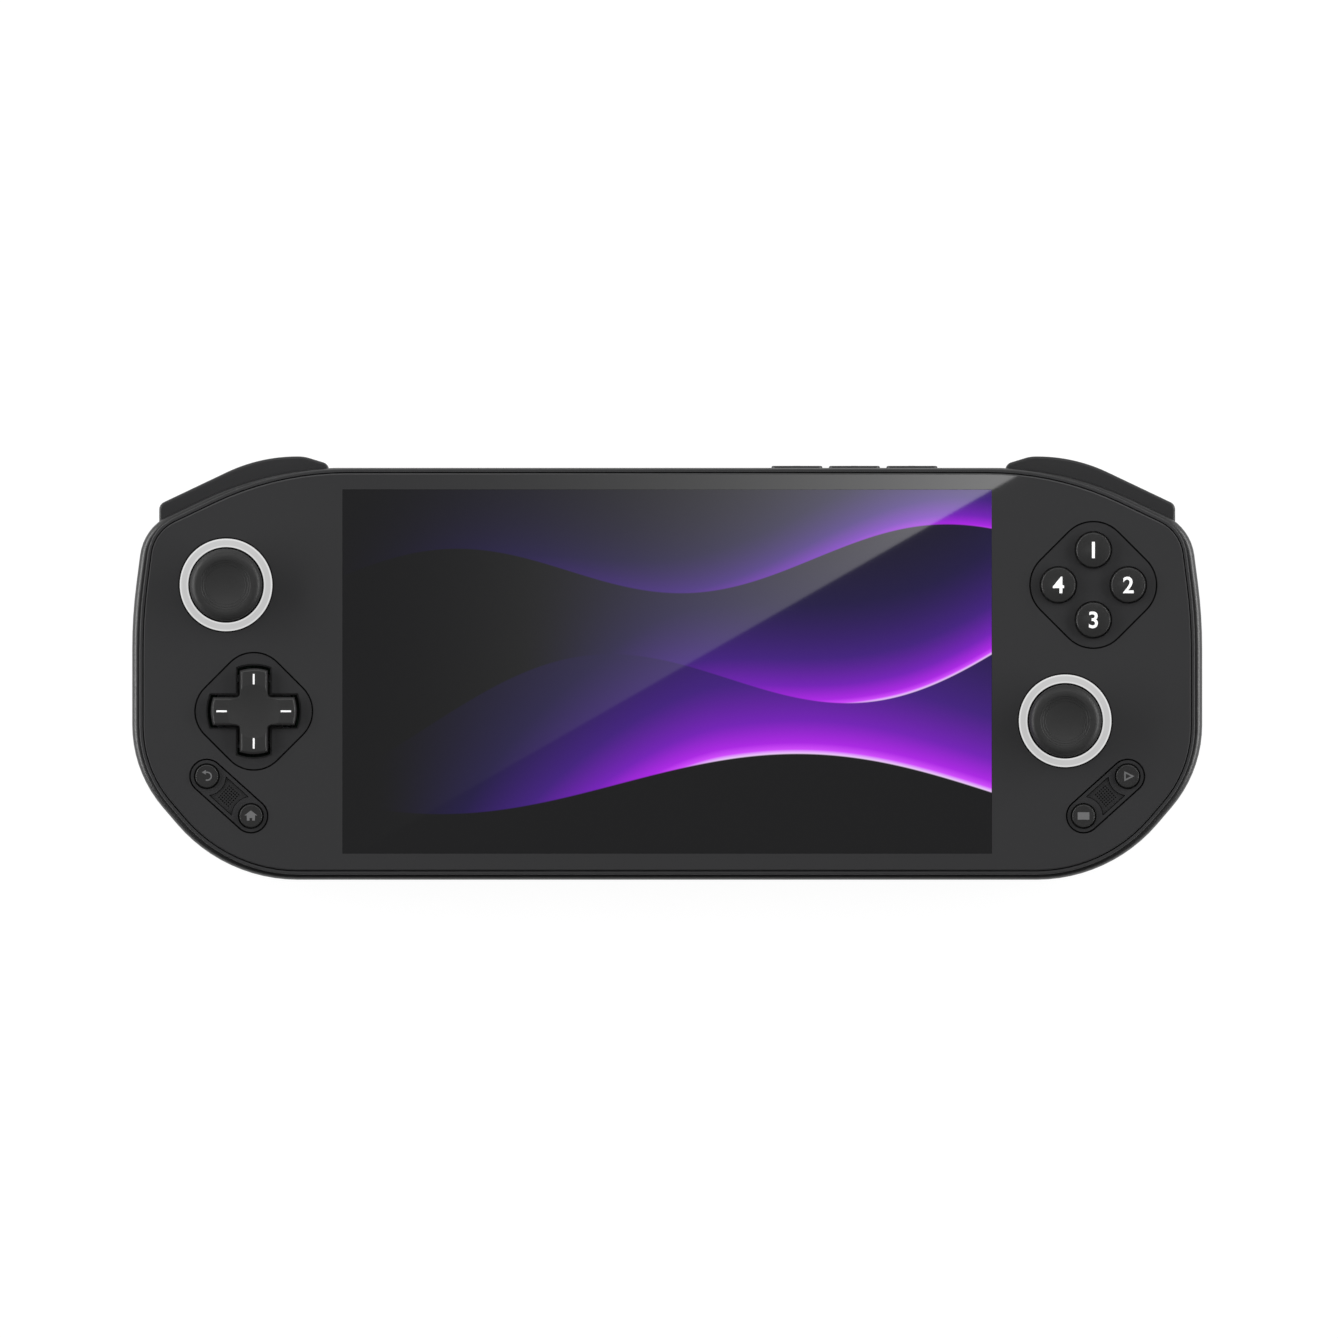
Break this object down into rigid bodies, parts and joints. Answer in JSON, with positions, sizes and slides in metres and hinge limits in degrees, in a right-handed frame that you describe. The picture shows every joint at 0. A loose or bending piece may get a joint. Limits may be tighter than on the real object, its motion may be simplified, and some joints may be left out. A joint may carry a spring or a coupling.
{
  "type": "handheld game console",
  "caption": "Handheld game console with a wide centre screen, thumb sticks, directional pad, round face buttons, bumpers and triggers, lying on rear grips.",
  "frame": {"origin": "on the plane that the two rear grips rest on, under the middle of the outline with the bumpers", "axes": "+X to the right of the screen, +Y towards the edge with the bumpers, +Z out of the screen"},
  "size_m": [0.21, 0.083, 0.0244],
  "materials": {
    "shell_black": "fine spark-eroded texture",
    "rim_grey": "satin",
    "panel_grey": "smooth, slightly glossy",
    "plate_grey": "smooth",
    "grip_rubber": "textured",
    "screw_steel": "blackened",
    "screen_glass": "polished",
    "display_stack": "smooth",
    "frame_metal": "stamped",
    "ring_light": "milky translucent",
    "stick_plastic": "moulded",
    "stick_rubber": "matte",
    "stick_metal": "turned",
    "button_black": "polished",
    "dpad_black": "smooth",
    "silicone": "moulded",
    "speaker_black": "moulded",
    "mesh_black": "perforated",
    "bumper_grey": "satin",
    "board_green": "solder mask",
    "port_steel": "stamped",
    "battery_wrap": "wrapped pouch"
  },
  "bodies": {
    "console": {"rear_cover": "shell_black", "front_cover": "rim_grey", "front_panel": "panel_grey", "left_grip": "grip_rubber", "right_grip": "grip_rubber", "case_screws": "screw_steel", "display_glass": "screen_glass", "display_panel": "display_stack", "display_frame": "frame_metal", "dpad_bezel": "plate_grey", "dpad_membrane": "silicone", "face_button_bezel": "plate_grey", "face_button_membrane": "silicone", "shoulder_pins": "stick_metal", "top_switch_board": "board_green", "left_control_board": "board_green", "right_control_board": "board_green", "main_board": "board_green", "processor_shield": "frame_metal", "usb_c_port": "port_steel", "headphone_jack": "speaker_black", "card_slot": "port_steel", "battery": "battery_wrap", "left_stick_ring": "ring_light", "left_stick_base": "stick_plastic", "left_pill_bezel": "plate_grey", "left_pill_membrane": "silicone", "left_speaker_grille": "mesh_black", "left_speaker": "speaker_black", "right_stick_ring": "ring_light", "right_stick_base": "stick_plastic", "right_pill_bezel": "plate_grey", "right_pill_membrane": "silicone", "right_speaker_grille": "mesh_black", "right_speaker": "speaker_black"},
    "left_stick_carrier": {"left_stick_carrier": "stick_plastic"},
    "left_stick_yoke": {"left_stick_yoke": "stick_plastic"},
    "left_stick": {"left_stick_shaft": "stick_metal", "left_stick_cap": "stick_rubber"},
    "right_stick_carrier": {"right_stick_carrier": "stick_plastic"},
    "right_stick_yoke": {"right_stick_yoke": "stick_plastic"},
    "right_stick": {"right_stick_shaft": "stick_metal", "right_stick_cap": "stick_rubber"},
    "dpad_pivot": {"dpad_pivot": "stick_metal"},
    "dpad": {"dpad": "dpad_black"},
    "face_button_top": {"face_button_top": "button_black"},
    "face_button_right": {"face_button_right": "button_black"},
    "face_button_bottom": {"face_button_bottom": "button_black"},
    "face_button_left": {"face_button_left": "button_black"},
    "back_button": {"back_button": "button_black"},
    "home_button": {"home_button": "button_black"},
    "play_button": {"play_button": "button_black"},
    "menu_button": {"menu_button": "button_black"},
    "volume_down_button": {"volume_down_button": "shell_black"},
    "volume_up_button": {"volume_up_button": "shell_black"},
    "power_button": {"power_button": "shell_black"},
    "left_bumper": {"left_bumper": "bumper_grey"},
    "left_trigger": {"left_trigger": "shell_black"},
    "right_bumper": {"right_bumper": "bumper_grey"},
    "right_trigger": {"right_trigger": "shell_black"}
  },
  "joints": [
    {"name": "left_stick_click", "type": "slide", "parent": "console", "child": "left_stick_carrier", "axis": [0, 0, -1], "range_m": [0, 0.0004], "stiffness_N_per_m": 1500},
    {"name": "left_stick_forward_back", "type": "hinge", "parent": "left_stick_carrier", "child": "left_stick_yoke", "pos_m": [-0.08648, 0.0163, 0.0106], "axis": [1, 0, 0], "range_deg": [-12, 12], "stiffness_Nm_per_rad": 0.02},
    {"name": "left_stick_left_right", "type": "hinge", "parent": "left_stick_yoke", "child": "left_stick", "pos_m": [-0.08648, 0.0163, 0.0106], "axis": [0, 1, 0], "range_deg": [-12, 12], "stiffness_Nm_per_rad": 0.02},
    {"name": "right_stick_click", "type": "slide", "parent": "console", "child": "right_stick_carrier", "axis": [0, 0, -1], "range_m": [0, 0.0004], "stiffness_N_per_m": 1500},
    {"name": "right_stick_forward_back", "type": "hinge", "parent": "right_stick_carrier", "child": "right_stick_yoke", "pos_m": [0.07802, -0.01034, 0.0106], "axis": [1, 0, 0], "range_deg": [-12, 12], "stiffness_Nm_per_rad": 0.02},
    {"name": "right_stick_left_right", "type": "hinge", "parent": "right_stick_yoke", "child": "right_stick", "pos_m": [0.07802, -0.01034, 0.0106], "axis": [0, 1, 0], "range_deg": [-12, 12], "stiffness_Nm_per_rad": 0.02},
    {"name": "dpad_up_down", "type": "hinge", "parent": "console", "child": "dpad_pivot", "pos_m": [-0.08104, -0.00847, 0.0145], "axis": [1, 0, 0], "range_deg": [-4, 4], "stiffness_Nm_per_rad": 0.05, "deforming": ["dpad_membrane"]},
    {"name": "dpad_left_right", "type": "hinge", "parent": "dpad_pivot", "child": "dpad", "pos_m": [-0.08104, -0.00847, 0.0145], "axis": [0, 1, 0], "range_deg": [-4, 4], "stiffness_Nm_per_rad": 0.05, "deforming": ["dpad_membrane"]},
    {"name": "face_button_top_press", "type": "slide", "parent": "console", "child": "face_button_top", "axis": [0, 0, -1], "range_m": [0, 0.001], "stiffness_N_per_m": 300, "deforming": ["face_button_membrane"]},
    {"name": "face_button_right_press", "type": "slide", "parent": "console", "child": "face_button_right", "axis": [0, 0, -1], "range_m": [0, 0.001], "stiffness_N_per_m": 300, "deforming": ["face_button_membrane"]},
    {"name": "face_button_bottom_press", "type": "slide", "parent": "console", "child": "face_button_bottom", "axis": [0, 0, -1], "range_m": [0, 0.001], "stiffness_N_per_m": 300, "deforming": ["face_button_membrane"]},
    {"name": "face_button_left_press", "type": "slide", "parent": "console", "child": "face_button_left", "axis": [0, 0, -1], "range_m": [0, 0.001], "stiffness_N_per_m": 300, "deforming": ["face_button_membrane"]},
    {"name": "back_button_press", "type": "slide", "parent": "console", "child": "back_button", "axis": [0, 0, -1], "range_m": [0, 0.0004], "stiffness_N_per_m": 500, "deforming": ["left_pill_membrane"]},
    {"name": "home_button_press", "type": "slide", "parent": "console", "child": "home_button", "axis": [0, 0, -1], "range_m": [0, 0.0004], "stiffness_N_per_m": 500, "deforming": ["left_pill_membrane"]},
    {"name": "play_button_press", "type": "slide", "parent": "console", "child": "play_button", "axis": [0, 0, -1], "range_m": [0, 0.0004], "stiffness_N_per_m": 500, "deforming": ["right_pill_membrane"]},
    {"name": "menu_button_press", "type": "slide", "parent": "console", "child": "menu_button", "axis": [0, 0, -1], "range_m": [0, 0.0004], "stiffness_N_per_m": 500, "deforming": ["right_pill_membrane"]},
    {"name": "volume_down_button_press", "type": "slide", "parent": "console", "child": "volume_down_button", "axis": [0, -1, 0], "range_m": [0, 0.0003], "stiffness_N_per_m": 800},
    {"name": "volume_up_button_press", "type": "slide", "parent": "console", "child": "volume_up_button", "axis": [0, -1, 0], "range_m": [0, 0.0003], "stiffness_N_per_m": 800},
    {"name": "power_button_press", "type": "slide", "parent": "console", "child": "power_button", "axis": [0, -1, 0], "range_m": [0, 0.0003], "stiffness_N_per_m": 800},
    {"name": "left_bumper_press", "type": "hinge", "parent": "console", "child": "left_bumper", "pos_m": [-0.06894, 0.03438, 0.0112], "axis": [0, 0, 1], "range_deg": [0, 2.2], "stiffness_Nm_per_rad": 0.2},
    {"name": "left_trigger_pull", "type": "hinge", "parent": "console", "child": "left_trigger", "pos_m": [-0.06894, 0.03438, 0.00695], "axis": [0, 0, 1], "range_deg": [0, 4.5], "stiffness_Nm_per_rad": 0.1},
    {"name": "right_bumper_press", "type": "hinge", "parent": "console", "child": "right_bumper", "pos_m": [0.06894, 0.03438, 0.0112], "axis": [0, 0, -1], "range_deg": [0, 2.2], "stiffness_Nm_per_rad": 0.2},
    {"name": "right_trigger_pull", "type": "hinge", "parent": "console", "child": "right_trigger", "pos_m": [0.06894, 0.03438, 0.00695], "axis": [0, 0, -1], "range_deg": [0, 4.5], "stiffness_Nm_per_rad": 0.1}
  ]
}
